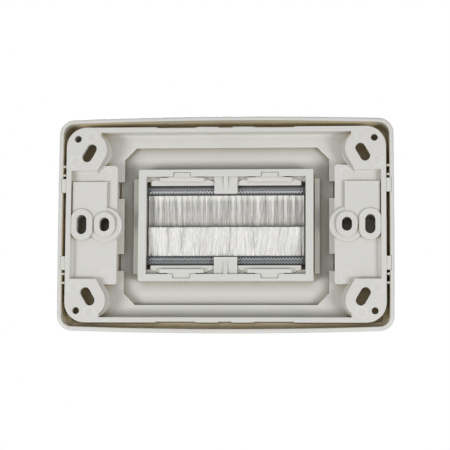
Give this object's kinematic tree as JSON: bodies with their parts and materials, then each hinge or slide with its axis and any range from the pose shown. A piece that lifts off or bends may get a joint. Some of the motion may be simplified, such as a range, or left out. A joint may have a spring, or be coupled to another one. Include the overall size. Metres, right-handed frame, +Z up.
{
  "type": "brush wall plate",
  "caption": "Double size wall plate with a framed window closed by facing brush strips for passing cables, on a mounting base with wall screw slots.",
  "frame": {"origin": "middle of the wall plane, midway between the two wall screws", "axes": "as installed: +Z up, +X along the plate's long side, the front faces -Y and +Y points into the wall"},
  "size_m": [0.1164, 0.0117, 0.0754],
  "materials": {
    "plastic": "satin",
    "tape": "matt woven",
    "thread": "matt",
    "bristle": "satin filaments"
  },
  "bodies": {
    "root": {"cover_plate": "plastic", "mounting_base": "plastic", "brush_carrier": "plastic", "window_insert": "plastic", "upper_brush_backing": "tape", "lower_brush_backing": "tape", "upper_stitching": "thread", "lower_stitching": "thread", "upper_bristles": "bristle", "lower_bristles": "bristle"}
  },
  "joints": []
}
